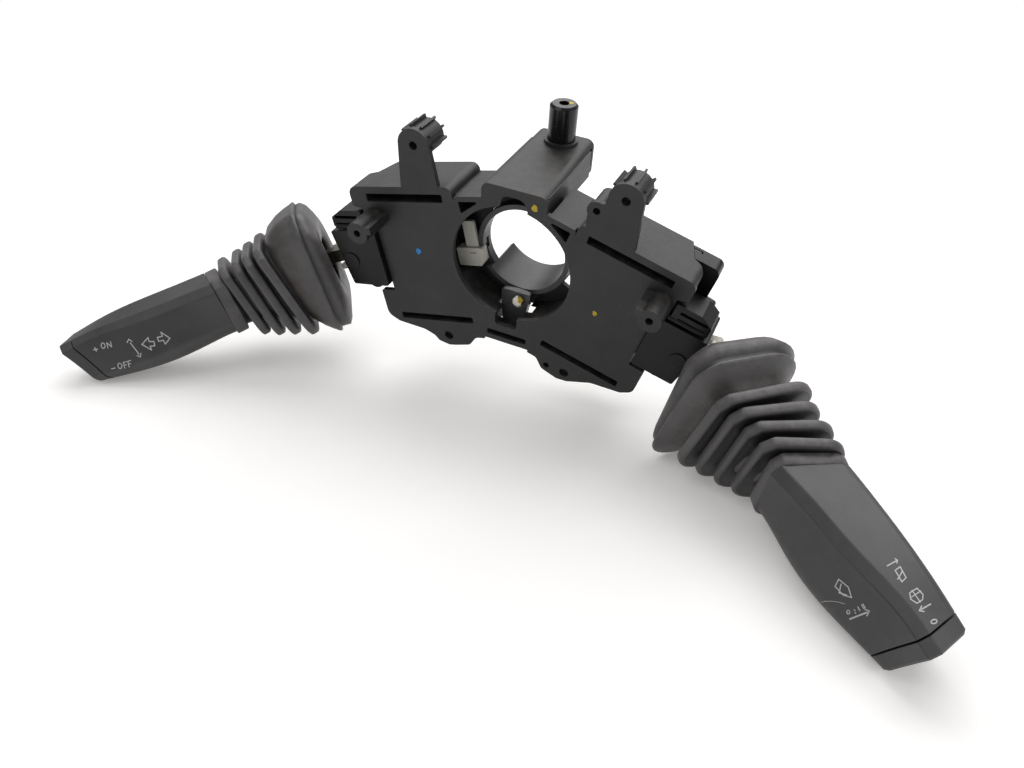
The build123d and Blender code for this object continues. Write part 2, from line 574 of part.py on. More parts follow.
def plug_socket():
    """Open connector shroud on the rear lid."""
    with BuildPart() as socket:
        with BuildSketch(wing_plane(CASE_BACK + COVER_T + 1.3)):
            closed_outline([(37.0, -17.0), (37.0, 5.0), (53.0, 5.0), (53.0, -17.0)], 1.2)
        extrude(amount=-11.0)
        with BuildSketch(wing_plane(CASE_BACK + COVER_T + 3.3)):
            closed_outline([(38.4, -15.6), (38.4, 3.6), (51.6, 3.6), (51.6, -15.6)], 0.6)
        extrude(amount=-11.0, mode=Mode.SUBTRACT)
        with BuildSketch(wing_plane(CASE_BACK + COVER_T + 1.3)):
            with Locations((45.0, -6.0)):
                with GridLocations(5.0, 4.2, 2, 4):
                    Rectangle(2.4, 0.9, mode=Mode.ADD)
        extrude(amount=-3.0, mode=Mode.SUBTRACT)
    return socket


def terminals():
    """Blade terminals from the contact board out through the connector shroud."""
    with BuildPart() as blades:
        with BuildSketch(wing_plane(CASE_BACK + COVER_T + 1.3)):
            with Locations((45.0, -6.0)):
                with GridLocations(5.0, 4.2, 2, 4):
                    Rectangle(2.3, 0.8)
        extrude(amount=-9.0)
    return blades


def pivot_pin():
    with BuildPart() as pin:
        with BuildSketch(wing_plane(NOSE_FRONT + 0.7)):
            with Locations((PIVOT_U, PIVOT_V)):
                Circle(PIN_R)
        extrude(amount=-(NOSE_BACK - NOSE_FRONT - 0.7))
        with BuildSketch(wing_plane(NOSE_BACK + 0.02)):
            with Locations((PIVOT_U, PIVOT_V)):
                Circle(3.0)
        extrude(amount=-0.7)
    return pin


# ---------------------------------------------------------------- moving pieces
def yoke(side):
    """Rocker on the pivot pin: hub, clevis for the lever and the arm that drives the slider."""
    with BuildPart() as rocker:
        with BuildSketch(yoke_plane(side, -HUB_HALF)):
            Circle(HUB_R)
        extrude(amount=-2 * HUB_HALF)
        with BuildSketch(yoke_plane(side, -2.0)):
            closed_outline([(0, -3.2), (0, 3.2), (FINGER_X + 1, 2.4), (FINGER_X - 2.4, 1.6),
                            (FINGER_X - 2.4, -1.6), (FINGER_X + 1, -2.4)], [1, 1, 1, 1, 1, 1])
        extrude(amount=-5.0)
        with BuildSketch(yoke_plane(side, -4.5)):
            closed_outline([(0, -HUB_R), (0, HUB_R), (CLEVIS_X + CLEVIS_END, 6.0), (CLEVIS_X + CLEVIS_END, -6.0)],
                           [0.5, 0.5, 1.5, 1.5])
        extrude(amount=-9.0)
        with BuildSketch(yoke_plane(side, -6.0)):
            with Locations((CLEVIS_X + 2.0, 0)):
                Rectangle(12.0 - 0.2, CLEVIS_GAP)
        extrude(amount=-12.0, mode=Mode.SUBTRACT)
        with BuildSketch(yoke_plane(side, 3.0)):
            with Locations((FINGER_X, 0)):
                Circle(FINGER_R)
        extrude(amount=-4.4)
        with BuildSketch(yoke_plane(side, -HUB_HALF - 1)):
            Circle(PIN_R + RUNNING)
        extrude(amount=-2 * HUB_HALF - 2, mode=Mode.SUBTRACT)
        with BuildSketch(clevis_plane(side, -8)):
            Circle(1.5)
        extrude(amount=16, mode=Mode.SUBTRACT)
    return rocker


def lever_pin(side):
    with BuildPart() as pin:
        with BuildSketch(clevis_plane(side, -5.8)):
            Circle(1.48)
        extrude(amount=11.6)
    return pin


def contact_slider(side):
    """Carriage that the yoke's finger slides along the contact board."""
    lift = NEUTRAL_DROOP - REST_LIFT[side] - WING_DROOP
    v = PIVOT_V - FINGER_X * sin(radians(lift))
    u = PIVOT_U + FINGER_X
    width, height, depth = SLIDER_SIZE
    with BuildPart() as slider:
        with BuildSketch(wing_plane(12.4)):
            with Locations((u, v)):
                RectangleRounded(width, height, 1.0)
            with Locations((u + NOTCH_SHIFT, v)):
                RectangleRounded(SLIDER_NOTCH, 2 * FINGER_R + 0.6, 0.6, mode=Mode.SUBTRACT)
        extrude(amount=-depth)
        with BuildSketch(wing_plane(12.4 + depth)):
            with Locations((u, v)):
                RectangleRounded(width, height, 1.0)
        extrude(amount=-1.2)
    with BuildPart() as contacts:
        with BuildSketch(wing_plane(12.4 + depth + 1.22)):
            with Locations((u - 2.2, v), (u + 2.2, v)):
                RectangleRounded(1.8, 9.0, 0.5)
        extrude(amount=-0.8)
    return slider, contacts


def detent_plunger(side):
    """Sprung plunger at the end of the yoke arm, riding on the case's detent."""
    out, _ = lever_axes(side)
    with BuildPart() as plunger:
        with BuildSketch(Plane(origin=pivot_point() + out * (FINGER_X - 2.45), x_dir=(0, 1, 0), z_dir=out * -1)):
            Circle(1.3)
        extrude(amount=2.4)
        fillet(plunger.faces().sort_by(Axis.X)[0].edges(), 0.9)
    return plunger


def lever_arm(side):
    """Bar from the clevis, through the boot, into the grip."""
    x, y, z = GRIP_BASE[side]
    s = radians(SWEEP[side])
    out, lift = lever_axes(side)
    rim_x, rim_y, rim_z = x - 46 * cos(s), y + 46 * sin(s), z
    root = clevis_plane(side, 0)
    run = Vector(rim_x - CLEVIS_X, rim_y, rim_z)
    direction = out * run.X + Vector(0, 1, 0) * run.Y + lift * run.Z
    level = (out * run.X + Vector(0, 1, 0) * run.Y).normalized()
    across = lift.cross(level)
    with BuildPart() as arm:
        with BuildSketch(clevis_plane(side, -CLEVIS_GAP / 2 + 0.3)):
            Circle(3.4)
        extrude(amount=CLEVIS_GAP - 0.6)
        for reach in (0, ARM_KNEE):
            with BuildSketch(Plane(origin=root.origin + level * reach, x_dir=across, z_dir=level)):
                Rectangle(5.6, 5.4)
        with BuildSketch(Plane(origin=root.origin + direction, x_dir=grip_plane(side).x_dir,
                               z_dir=grip_plane(side).z_dir)):
            RectangleRounded(9.0, 7.6, 1.2)
        loft(ruled=True)
        with BuildSketch(Plane(origin=root.origin + direction, x_dir=grip_plane(side).x_dir,
                               z_dir=grip_plane(side).z_dir)):
            RectangleRounded(9.0, 7.6, 1.2)
        with BuildSketch(grip_plane(side, -8)):
            RectangleRounded(11.0, 9.0, 1.2)
        with BuildSketch(grip_plane(side, 22)):
            RectangleRounded(9.0, 8.0, 1.2)
        loft(ruled=True)
        with BuildSketch(clevis_plane(side, -8)):
            Circle(1.5 + RUNNING)
        extrude(amount=16, mode=Mode.SUBTRACT)
    return arm


def ring_corners(width, height, shift_b, shift_c, bevel):
    """Boot section as the grip's: front face leaning back under a bevelled top edge."""
    w, h = width / 2, height / 2
    lean = 0.12 * width
    points = [(-w, -h), (-w + lean, h - bevel), (-w + lean + bevel, h), (w, h), (w, -h)]
    return [(b + shift_b, c + shift_c) for b, c in points]


def boot(side):
    """Ribbed rubber boot: four fins on a bellows neck, then the bell with its two lips."""
    with BuildPart() as bellows:
        # Neck between the fins, closed towards the grip.
        necks = [(-1.4, 28.0, 24.6, 0.0, 0.0, GRIP_BASE_TILT)]
        necks += [
            (s, w - 2 * RING_DEPTH, h - 2 * RING_DEPTH, b, c, tilt) for s, w, h, b, c, tilt in BOOT_RINGS
        ]
        necks += [(-36.5, 41.0, 39.0, BELL_SHIFT[0], BELL_SHIFT[1], 3.0)]
        for s, w, h, b, c, tilt in necks:
            with BuildSketch(grip_plane(side, s, tilt)):
                closed_outline(ring_corners(w, h, b, c, 4.0), [0.2 * w, 2, 2, 0.2 * w, 0.2 * w])
        loft(ruled=True)
        # Fins.
        for s, w, h, b, c, tilt in BOOT_RINGS:
            with BuildSketch(grip_plane(side, s - RING_T / 2, tilt)):
                closed_outline(ring_corners(w, h, b, c, 4.0), [0.2 * w, 2.5, 2.5, 0.22 * w, 0.22 * w])
            extrude(amount=RING_T, taper=6)
        # Collar that grips the base of the grip.
        with BuildSketch(grip_plane(side, -5.6, GRIP_BASE_TILT)):
            closed_outline(ring_corners(30.4, 26.0, 0.3, 0.2, 3.4), [5.5, 1.5, 1.5, 5.5, 6])
        extrude(amount=5.4)
        # Bell and lips.
        for lobe in (BELL, LIP):
            for s, w in lobe:
                with BuildSketch(grip_plane(side, s, 0)):
                    closed_outline(ring_corners(w, w - 2, *BELL_SHIFT, 5.0), [0.3 * w, 6, 6, 0.34 * w, 0.34 * w])
            loft(ruled=True)
        with BuildSketch(grip_plane(side, BELL[-1][0] - 2.6, 0)):
            closed_outline(ring_corners(49.4, 47.4, *BELL_SHIFT, 5.0), [14, 6, 6, 16, 16])
        extrude(amount=3.0)
        # Hollow inside, open at the bell.
        hollow = [(-60.0, 34.5, 32.5, *BELL_SHIFT), (-55.0, 34.5, 32.5, *BELL_SHIFT),
                  (-53.0, 41.0, 39.0, *BELL_SHIFT), (-50.6, 45.4, 43.4, *BELL_SHIFT),
                  (-47.0, 45.4, 43.4, *BELL_SHIFT), (-41.0, 43.6, 41.6, *BELL_SHIFT),
                  (-36.0, 36.0, 34.0, *BELL_SHIFT), (-24.0, 26.0, 24.0, -2.6, -0.7),
                  (-9.0, 19.0, 17.0, 0, 0), (-7.0, 16.0, 14.0, 0, 0), (6.0, 16.0, 14.0, 0, 0)]
        for s, w, h, b, c in hollow:
            with BuildSketch(grip_plane(side, s, 0)):
                closed_outline(ring_corners(w, h, b, c, 0.1 * w), [0.28 * w, 0.1 * w, 0.1 * w, 0.32 * w, 0.32 * w])
        loft(ruled=True, mode=Mode.SUBTRACT)
    return bellows


def grip_solid(side, inset=0.0):
    """Loft of the grip's sections; an inset gives its hollow."""
    with BuildPart() as grip:
        for s, corners, radii in GRIP_SECTIONS:
            mid_b = sum(b for b, _ in corners) / 5
            mid_c = sum(c for _, c in corners) / 5
            half = max(abs(b - mid_b) for b, _ in corners)
            k = 1 - inset / half
            with BuildSketch(grip_plane(side, s)):
                closed_outline(
                    [(mid_b + (b - mid_b) * k, mid_c + (c - mid_c) * k) for b, c in corners],
                    [r * k for r in radii],
                )
        loft()
    return grip


def grip_core(side):
    """Hollow of the grip."""
    with BuildPart() as core:
        add(grip_solid(side, inset=2.6).part)
        split(bisect_by=grip_plane(side, 8.0, GRIP_BASE_TILT), keep=Keep.TOP)
        split(bisect_by=cap_plane(side, -3.0), keep=Keep.BOTTOM)
    return core


def grip_shells(side):
    """The grip's two shells, parted along its back edge, and the end cap cut from the same form."""
    base = grip_plane(side, 0.4, GRIP_BASE_TILT)
    face = cap_plane(side)
    with BuildPart() as body:
        add(grip_solid(side).part)
        split(bisect_by=base, keep=Keep.TOP)
        split(bisect_by=face, keep=Keep.BOTTOM)
        add(grip_core(side).part, mode=Mode.SUBTRACT)
        with BuildSketch(grip_plane(side, -4)):
            RectangleRounded(11.4, 9.4, 1.2)
        extrude(amount=20, mode=Mode.SUBTRACT)
        with BuildSketch(cap_plane(side, -4)):
            Circle(SPINDLE_R + RUNNING)
        extrude(amount=6, mode=Mode.SUBTRACT)
    middle = grip_plane(side)
    seam = Plane(origin=middle.origin + middle.x_dir * GRIP_SEAM, x_dir=middle.z_dir, z_dir=middle.x_dir)
    with BuildPart() as rear:
        add(body.part)
        split(bisect_by=seam, keep=Keep.TOP)
    with BuildPart() as front:
        add(body.part)
        split(bisect_by=seam, keep=Keep.BOTTOM)
    with BuildPart() as cap:
        add(grip_solid(side).part)
        split(bisect_by=cap_plane(side, CAP_GAP), keep=Keep.TOP)
        split(bisect_by=cap_plane(side, CAP_LENGTH), keep=Keep.BOTTOM)
        outer = cap.faces().sort_by(Axis(cap_plane(side).origin, cap_plane(side).z_dir))[-1]
        chamfer(outer.edges(), 0.8)
        with BuildSketch(cap_plane(side, 0)):
            Circle(SPINDLE_R + 0.02)
        extrude(amount=3.6, mode=Mode.SUBTRACT)
    with BuildPart() as spindle:
        with BuildSketch(cap_plane(side, -3.2)):
            Circle(SPINDLE_R)
        extrude(amount=6.6)
        with BuildSketch(cap_plane(side, -3.2)):
            Circle(3.8)
        extrude(amount=-1.6)
    return front, rear, cap, spindle


for side in ("left", "right"):
    save_side(module_case(side), side, "module_case")
    save_side(module_clip(side), side, "module_clip")
    save_side(module_cover(), side, "module_cover")
    save_side(contact_board(), side, "contact_board")
    save_side(plug_socket(), side, "plug_socket")
    save_side(terminals(), side, "terminals")
    save_side(pivot_pin(), side, "pivot_pin")
    save_side(yoke(side), side, "yoke")
    save_side(lever_pin(side), side, "lever_pin")
    slider, contacts = contact_slider(side)
    save_side(slider, side, "contact_slider")
    save_side(contacts, side, "slider_contacts")
    save_side(detent_plunger(side), side, "detent_plunger")
    save_side(lever_arm(side), side, "lever_arm")
    save_side(boot(side), side, "boot")
    front, rear, cap, spindle = grip_shells(side)
    save_side(front, side, "grip_front")
    save_side(rear, side, "grip_rear")
    save_side(cap, side, "end_cap")
    save_side(spindle, side, "cap_spindle")
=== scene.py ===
import bpy
import bmesh
import json
from math import atan2, cos, pi, radians, sin, tan
from mathutils import Matrix, Vector
from mathutils.bvhtree import BVHTree


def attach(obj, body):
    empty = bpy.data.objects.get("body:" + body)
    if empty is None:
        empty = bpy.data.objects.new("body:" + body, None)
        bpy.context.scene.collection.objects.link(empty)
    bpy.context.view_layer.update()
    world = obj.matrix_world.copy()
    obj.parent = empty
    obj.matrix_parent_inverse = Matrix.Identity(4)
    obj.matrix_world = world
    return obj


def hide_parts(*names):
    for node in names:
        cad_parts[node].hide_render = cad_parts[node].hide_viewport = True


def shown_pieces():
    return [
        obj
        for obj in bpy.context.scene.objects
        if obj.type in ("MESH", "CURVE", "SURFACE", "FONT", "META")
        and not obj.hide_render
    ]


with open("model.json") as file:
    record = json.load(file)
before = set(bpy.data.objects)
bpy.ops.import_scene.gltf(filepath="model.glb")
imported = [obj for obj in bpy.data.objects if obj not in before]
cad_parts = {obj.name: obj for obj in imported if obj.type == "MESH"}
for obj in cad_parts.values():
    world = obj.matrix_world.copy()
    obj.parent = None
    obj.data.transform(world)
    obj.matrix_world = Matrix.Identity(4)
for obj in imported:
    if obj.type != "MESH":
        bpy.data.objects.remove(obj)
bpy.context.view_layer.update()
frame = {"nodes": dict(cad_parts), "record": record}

NODES = frame["nodes"]
scene = bpy.context.scene
MM = 0.001
PICTURE_W, PICTURE_H = 1024, 768
SENSOR_MM = 36

# ------------------------------------------------------------------ camera
CAM_AT = Vector((112.5, -265.3, 188.7)) * MM
CAM_X = Vector((0.9075, 0.4171, 0.0492))
CAM_Y = Vector((-0.3071, 0.5792, 0.7551))
CAM_Z = CAM_X.cross(CAM_Y)
FOCAL_PX = 879.5

cam = bpy.data.objects.new("camera", bpy.data.cameras.new("camera"))
cam.data.lens, cam.data.sensor_width = FOCAL_PX / PICTURE_W * SENSOR_MM, SENSOR_MM
cam.data.clip_start, cam.data.clip_end = 0.01, 20
cam.matrix_world = Matrix((
    (CAM_X.x, CAM_Y.x, CAM_Z.x, CAM_AT.x),
    (CAM_X.y, CAM_Y.y, CAM_Z.y, CAM_AT.y),
    (CAM_X.z, CAM_Y.z, CAM_Z.z, CAM_AT.z),
    (0, 0, 0, 1),
))
scene.collection.objects.link(cam)
scene.camera = cam


def ray(px, py):
    """Direction from the camera through a point of the 1024 by 768 picture."""
    return (CAM_X * (px - PICTURE_W / 2) - CAM_Y * (py - PICTURE_H / 2) - CAM_Z * FOCAL_PX).normalized()


def hit(trees, px, py, lift=0.0):
    """First point of these surfaces behind that point of the picture, and its normal."""
    best = None
    for tree in trees:
        at, normal, _, dist = tree.ray_cast(CAM_AT, ray(px, py))
        if at is not None and (best is None or dist < best[2]):
            best = (at, normal, dist)
    if best is None:
        return None
    at, normal, _ = best
    if normal.dot(ray(px, py)) > 0:
        normal = -normal
    return at + normal * lift, normal


# ------------------------------------------------------------------ lever frames, as in the CAD
WING_DROOP, PIVOT_U, PIVOT_Y = 14.5, 73.9, 8.0
# Droop, sweep, and the grip's base measured from the lever's pivot.
LEVERS = {"left": (24.8, 37.5, (65.5, -30.1, -2.5)), "right": (0.0, 47.2, (56.2, -44.3, -9.9))}


def lever_frame(side):
    """Origin at the grip's base, with the back, up and tip directions."""
    droop_deg, sweep_deg, (x, y, z) = LEVERS[side]
    droop, sweep, wing = radians(droop_deg), radians(sweep_deg), radians(WING_DROOP)
    out = Vector((cos(droop), 0, -sin(droop)))
    lift = Vector((sin(droop), 0, cos(droop)))
    away = Vector((0, 1, 0))
    along = out * cos(sweep) - away * sin(sweep)
    back = out * sin(sweep) + away * cos(sweep)
    pivot = Vector((PIVOT_U * cos(wing), PIVOT_Y, -PIVOT_U * sin(wing)))
    vectors = [pivot + out * x + away * y + lift * z, back, lift, along]
    if side == "left":
        vectors = [Vector((-v.x, v.y, v.z)) for v in vectors]
    return vectors


# ------------------------------------------------------------------ materials
# Noise scales over object coordinates in metres: spots, patches, scratches and where they lie, paint.
MOTTLE_SCALE, PATCH_SCALE, SCRATCH_SCALE, SCRATCHED_SCALE, PAINT_SCALE = 55, 260, 95, 120, 900
GRAIN_HEIGHT, PAINT_HEIGHT = 0.0002, 0.0001
# Colour of dirt and painted shade in the boots' bell crease, darker than the rubber itself.
CREASE_DIRT_AND_SHADE = (0.040, 0.032, 0.025)
GREY_DUST = (0.20, 0.17, 0.135)


def new_material(name):
    """A node material: itself, its tree and its shader."""
    m = bpy.data.materials.new(name)
    m.use_nodes = True
    t = m.node_tree
    return m, t, t.nodes["Principled BSDF"]


def link(t, a, b):
    t.links.new(a, b)


def noise(t, coords, scale, detail, rough=0.55):
    n = t.nodes.new("ShaderNodeTexNoise")
    n.inputs["Scale"].default_value = scale
    n.inputs["Detail"].default_value = detail
    n.inputs["Roughness"].default_value = rough
    link(t, coords, n.inputs["Vector"])
    return n.outputs["Fac"]


def ramp(t, fac, stops):
    """Stops are (position, grey value)."""
    n = t.nodes.new("ShaderNodeValToRGB")
    e = n.color_ramp.elements
    while len(e) < len(stops):
        e.new(0.5)
    for el, (pos, c) in zip(e, stops):
        el.position = pos
        el.color = (c, c, c, 1)
    link(t, fac, n.inputs["Fac"])
    return n.outputs["Color"]


def math(t, op, a, b):
    n = t.nodes.new("ShaderNodeMath")
    n.operation = op
    n.use_clamp = True
    for i, v in enumerate((a, b)):
        if isinstance(v, (int, float)):
            n.inputs[i].default_value = v
        else:
            link(t, v, n.inputs[i])
    return n.outputs[0]


def mix(t, fac, a, b):
    n = t.nodes.new("ShaderNodeMix")
    n.data_type = "RGBA"
    for sock, v in ((n.inputs[0], fac), (n.inputs[6], a), (n.inputs[7], b)):
        if isinstance(v, (int, float)):
            sock.default_value = v
        elif isinstance(v, tuple):
            sock.default_value = (*v, 1)
        else:
            link(t, v, sock)
    return n.outputs[2]


def mottled(t, co, colour, mottle):
    dark = tuple(c * (1 - mottle) for c in colour)
    light = tuple(min(1, c * (1 + mottle) + 0.003) for c in colour)
    return mix(t, ramp(t, noise(t, co, MOTTLE_SCALE, 5, 0.6), [(0.35, 0.0), (0.68, 1.0)]), dark, light)


def scratched(t, co, base, colour, scuffs):
    """Thin pale scratches here and there."""
    cells = t.nodes.new("ShaderNodeTexVoronoi")
    cells.feature = "DISTANCE_TO_EDGE"
    cells.inputs["Scale"].default_value = SCRATCH_SCALE
    stretch = t.nodes.new("ShaderNodeMapping")
    stretch.inputs["Rotation"].default_value = (0.4, 0.7, 0.9)
    stretch.inputs["Scale"].default_value = (1.0, 0.16, 0.5)
    link(t, co, stretch.inputs["Vector"])
    link(t, stretch.outputs[0], cells.inputs["Vector"])
    line = ramp(t, cells.outputs["Distance"], [(0.0, 1.0), (0.012, 0.0)])
    gate = ramp(t, noise(t, co, SCRATCHED_SCALE, 3), [(0.56, 0.0), (0.70, 1.0)])
    scratch = math(t, "MULTIPLY", math(t, "MULTIPLY", line, gate), scuffs)
    return mix(t, scratch, base, tuple(min(1, c * 2.2 + 0.05) for c in colour))


def dusted(t, mid, base, dust, dust_colour):
    """Dust in patches on the faces that look up."""
    normal = t.nodes.new("ShaderNodeNewGeometry").outputs["Normal"]
    split = t.nodes.new("ShaderNodeSeparateXYZ")
    link(t, normal, split.inputs[0])
    top = ramp(t, split.outputs["Z"], [(0.25, 0.12), (0.95, 1.0)])
    patch = ramp(t, mid, [(0.40, 0.0), (0.72, 1.0)])
    return mix(t, math(t, "MULTIPLY", math(t, "MULTIPLY", top, patch), dust), base, dust_colour)


def boot_shade_and_dirt(t, mid, base, colour):
    """Painted shade in the boots' gaps between fins, and dirt with painted shade in the bell's crease, from
    values stored on the mesh.
    """
    wear = t.nodes.new("ShaderNodeAttribute")
    wear.attribute_name = "wear"
    # Painted shade: the gaps between the fins go down to a tenth of the rubber's colour.
    gap_shade = ramp(t, wear.outputs["Fac"], [(0.0, 0.95), (0.4, 0.0)])
    base = mix(t, gap_shade, base, tuple(c * 0.10 for c in colour))
    # Dirt and painted shade, darkest in the bell's crease and lighter towards its ridge.
    crease = ramp(t, wear.outputs["Fac"], [(0.52, 0.0), (0.95, 0.9)])
    dirt_and_shade_mask = math(t, "MULTIPLY", crease, ramp(t, mid, [(0.3, 0.35), (0.6, 1.0)]))
    return mix(t, dirt_and_shade_mask, base, CREASE_DIRT_AND_SHADE)


def uneven_gloss(t, p, mid, rough):
    spread = t.nodes.new("ShaderNodeMapRange")
    spread.inputs["To Min"].default_value = max(0.05, rough - 0.10)
    spread.inputs["To Max"].default_value = min(1.0, rough + 0.12)
    link(t, mid, spread.inputs["Value"])
    link(t, spread.outputs[0], p.inputs["Roughness"])


def relief(t, p, height, strength, distance):
    bump = t.nodes.new("ShaderNodeBump")
    bump.inputs["Strength"].default_value = strength
    bump.inputs["Distance"].default_value = distance
    link(t, height, bump.inputs["Height"])
    link(t, bump.outputs[0], p.inputs["Normal"])


def moulded(name, colour, rough, grain, grain_depth, dust=0.0, dust_colour=GREY_DUST,
            scuffs=0.25, spec=0.5, metallic=0.0, mottle=0.22, with_boot_shade_and_dirt=False):
    """Moulded or plated surface: mottled colour, dust that settles on upper faces, fine grain and scuffs,
    and for the boots painted shade in the gaps and dirt with painted shade in the crease.
    """
    m, t, p = new_material(name)
    co = t.nodes.new("ShaderNodeTexCoord").outputs["Object"]
    mid = noise(t, co, PATCH_SCALE, 6, 0.62)
    fine = noise(t, co, grain, 2, 0.5)
    base = scratched(t, co, mottled(t, co, colour, mottle), colour, scuffs)
    if dust:
        base = dusted(t, mid, base, dust, dust_colour)
    # Painted shade in the boots' gaps and dirt with painted shade in their crease.
    if with_boot_shade_and_dirt:
        base = boot_shade_and_dirt(t, mid, base, colour)
    link(t, base, p.inputs["Base Color"])
    uneven_gloss(t, p, mid, rough)
    p.inputs["Metallic"].default_value = metallic
    p.inputs["Specular IOR Level"].default_value = spec
    relief(t, p, math(t, "ADD", fine, math(t, "MULTIPLY", mid, 0.5)), grain_depth, GRAIN_HEIGHT)
    return m


MATS = {
    "black_plastic": moulded("black_plastic", (0.0115, 0.0115, 0.0120), 0.50, 2400, 0.20, dust=0.22,
                             scuffs=0.35),
    "case_plastic": moulded("case_plastic", (0.0035, 0.0035, 0.0038), 0.36, 3200, 0.07, dust=0.06,
                            scuffs=0.2, spec=0.28),
    "grip_plastic": moulded("grip_plastic", (0.023, 0.0212, 0.0225), 0.46, 3600, 0.22, dust=0.10,
                            dust_colour=(0.17, 0.155, 0.15), scuffs=0.15, spec=0.75),
    "white_plastic": moulded("white_plastic", (0.70, 0.67, 0.58), 0.45, 1800, 0.06, scuffs=0.1, mottle=0.08),
    "grey_steel": moulded("grey_steel", (0.30, 0.30, 0.31), 0.42, 1500, 0.10, metallic=0.55, scuffs=0.4),
    "zinc_steel": moulded("zinc_steel", (0.52, 0.49, 0.42), 0.30, 1500, 0.08, metallic=1.0, scuffs=0.5),
    "post_steel": moulded("post_steel", (0.003, 0.003, 0.0035), 0.22, 1500, 0.05, scuffs=0.5, spec=0.35),
    "contact_metal": moulded("contact_metal", (0.62, 0.48, 0.25), 0.3, 1500, 0.05, metallic=1.0),
    "board": moulded("board", (0.03, 0.11, 0.06), 0.45, 2200, 0.1),
    # Boot rubber, with painted shade in its gaps and dirt with painted shade in its crease.
    "rubber": moulded("rubber", (0.074, 0.069, 0.070), 0.48, 1500, 0.25, dust=0.55,
                      dust_colour=(0.20, 0.185, 0.175), scuffs=0.1, spec=0.6, with_boot_shade_and_dirt=True),
    "collar_plastic": moulded("collar_plastic", (0.045, 0.045, 0.046), 0.36, 2400, 0.08, scuffs=0.3),
}


def paint_material(name, colour):
    m, t, p = new_material(name)
    co = t.nodes.new("ShaderNodeTexCoord").outputs["Object"]
    n = noise(t, co, PAINT_SCALE, 5, 0.6)
    base = mix(t, ramp(t, n, [(0.35, 0.0), (0.7, 1.0)]), tuple(c * 0.78 for c in colour), colour)
    link(t, base, p.inputs["Base Color"])
    link(t, ramp(t, n, [(0.3, 0.35), (0.8, 0.6)]), p.inputs["Roughness"])
    relief(t, p, n, 0.3, PAINT_HEIGHT)
    return m


YELLOW = paint_material("paint_yellow", (0.62, 0.43, 0.012))
BLUE = paint_material("paint_blue", (0.02, 0.26, 0.72))
PRINT = paint_material("print_white", (0.60, 0.59, 0.58))

SLOT_OF = {s["node"]: s["material_slot"] for s in frame["record"]["subparts"]}
# Nodes that look unlike the rest of their slot.
LOOK_OF = {"clamp_post": "post_steel", "column_collar": "collar_plastic"}
EDGED = ("bracket_housing", "clamp_post", "left_module_case", "right_module_case", "left_end_cap",
         "right_end_cap", "left_grip_front", "right_grip_front", "left_grip_rear", "right_grip_rear",
         "collar_screw", "column_collar")
EDGE_WIDTH, EDGE_SEGMENTS, EDGE_ANGLE_DEG = 0.00028, 2, 38

for node_name, obj in NODES.items():
    look = LOOK_OF.get(node_name, SLOT_OF.get(node_name, "black_plastic"))
    obj.data.materials.clear()
    obj.data.materials.append(MATS[look])

for node_name in EDGED:
    bevel = NODES[node_name].modifiers.new("edge", "BEVEL")
    bevel.width = EDGE_WIDTH
    bevel.segments = EDGE_SEGMENTS
    bevel.limit_method = "ANGLE"
    bevel.angle_limit = radians(EDGE_ANGLE_DEG)
    bevel.use_clamp_overlap = True


def finished(bm, name, material, smooth=False):
    """The mesh that has been built, as an object in the scene."""
    me = bpy.data.meshes.new(name)
    bm.to_mesh(me)
    bm.free()
    for p in me.polygons:
        p.use_smooth = smooth
    me.materials.append(material)
    obj = bpy.data.objects.new(name, me)
    scene.collection.objects.link(obj)
    return obj


def skinned(bm, loops):
    """Walls between these closed rows of points, and a cap at either end."""
    for a, b in zip(loops, loops[1:]):
        for i in range(len(a)):
            j = (i + 1) % len(a)
            bm.faces.new((a[i], a[j], b[j], b[i]))
    bm.faces.new(loops[0])
    bm.faces.new(loops[-1])
    bmesh.ops.recalc_face_normals(bm, faces=bm.faces)


# ------------------------------------------------------------------ boots
CORNER_STEPS, EDGE_STEPS = 9, 5
FIN_HALF = 2.0  # half a fin's thickness
FIN_DEEP = 6.4  # how far a fin stands out of the neck
FIN_BEVEL, BELL_BEVEL, COLLAR_BEVEL = 4.0, 6.5, 3.4
FRONT_LEAN = 0.12  # of the width
GAP_SHADE, PLAIN, DIRT_AND_SHADE = 0.0, 0.5, 1.0  # painted shade in the fins' gaps, plain rubber, dirt and painted shade in the bell's crease

# Collar on the grip: station, width, height, offsets back and up, yaw and pitch.
COLLAR = (-5.6, 30.4, 26.0, 0.3, 0.2, 15.0, 0.0)
COLLAR_RADII = [5.5, 1.5, 1.5, 5.5, 6.0]
# Offset along the collar or fin, and how much is cut off its width and height there.
COLLAR_ROUND = [(5.75, 1.5), (5.65, 0.7), (5.3, 0.1), (0.9, 0.0), (0.4, 0.4), (0.2, 1.2), (0.0, 3.4)]
FIN_ROUND = [(FIN_HALF - 0.08, 1.5), (FIN_HALF - 0.4, 0.5), (FIN_HALF - 0.95, 0.08), (0.0, 0.0),
             (0.95 - FIN_HALF, 0.08), (0.4 - FIN_HALF, 0.5), (0.08 - FIN_HALF, 1.5)]
# Offset and added size of the neck's rows before and after a fin, up to inside its walls.
NECK_BEFORE = [(FIN_HALF + 0.55, 0.0), (FIN_HALF + 0.1, 0.8), (FIN_HALF, 9.0)]
NECK_AFTER = [(-FIN_HALF, 9.0), (-FIN_HALF - 0.1, 0.8)]

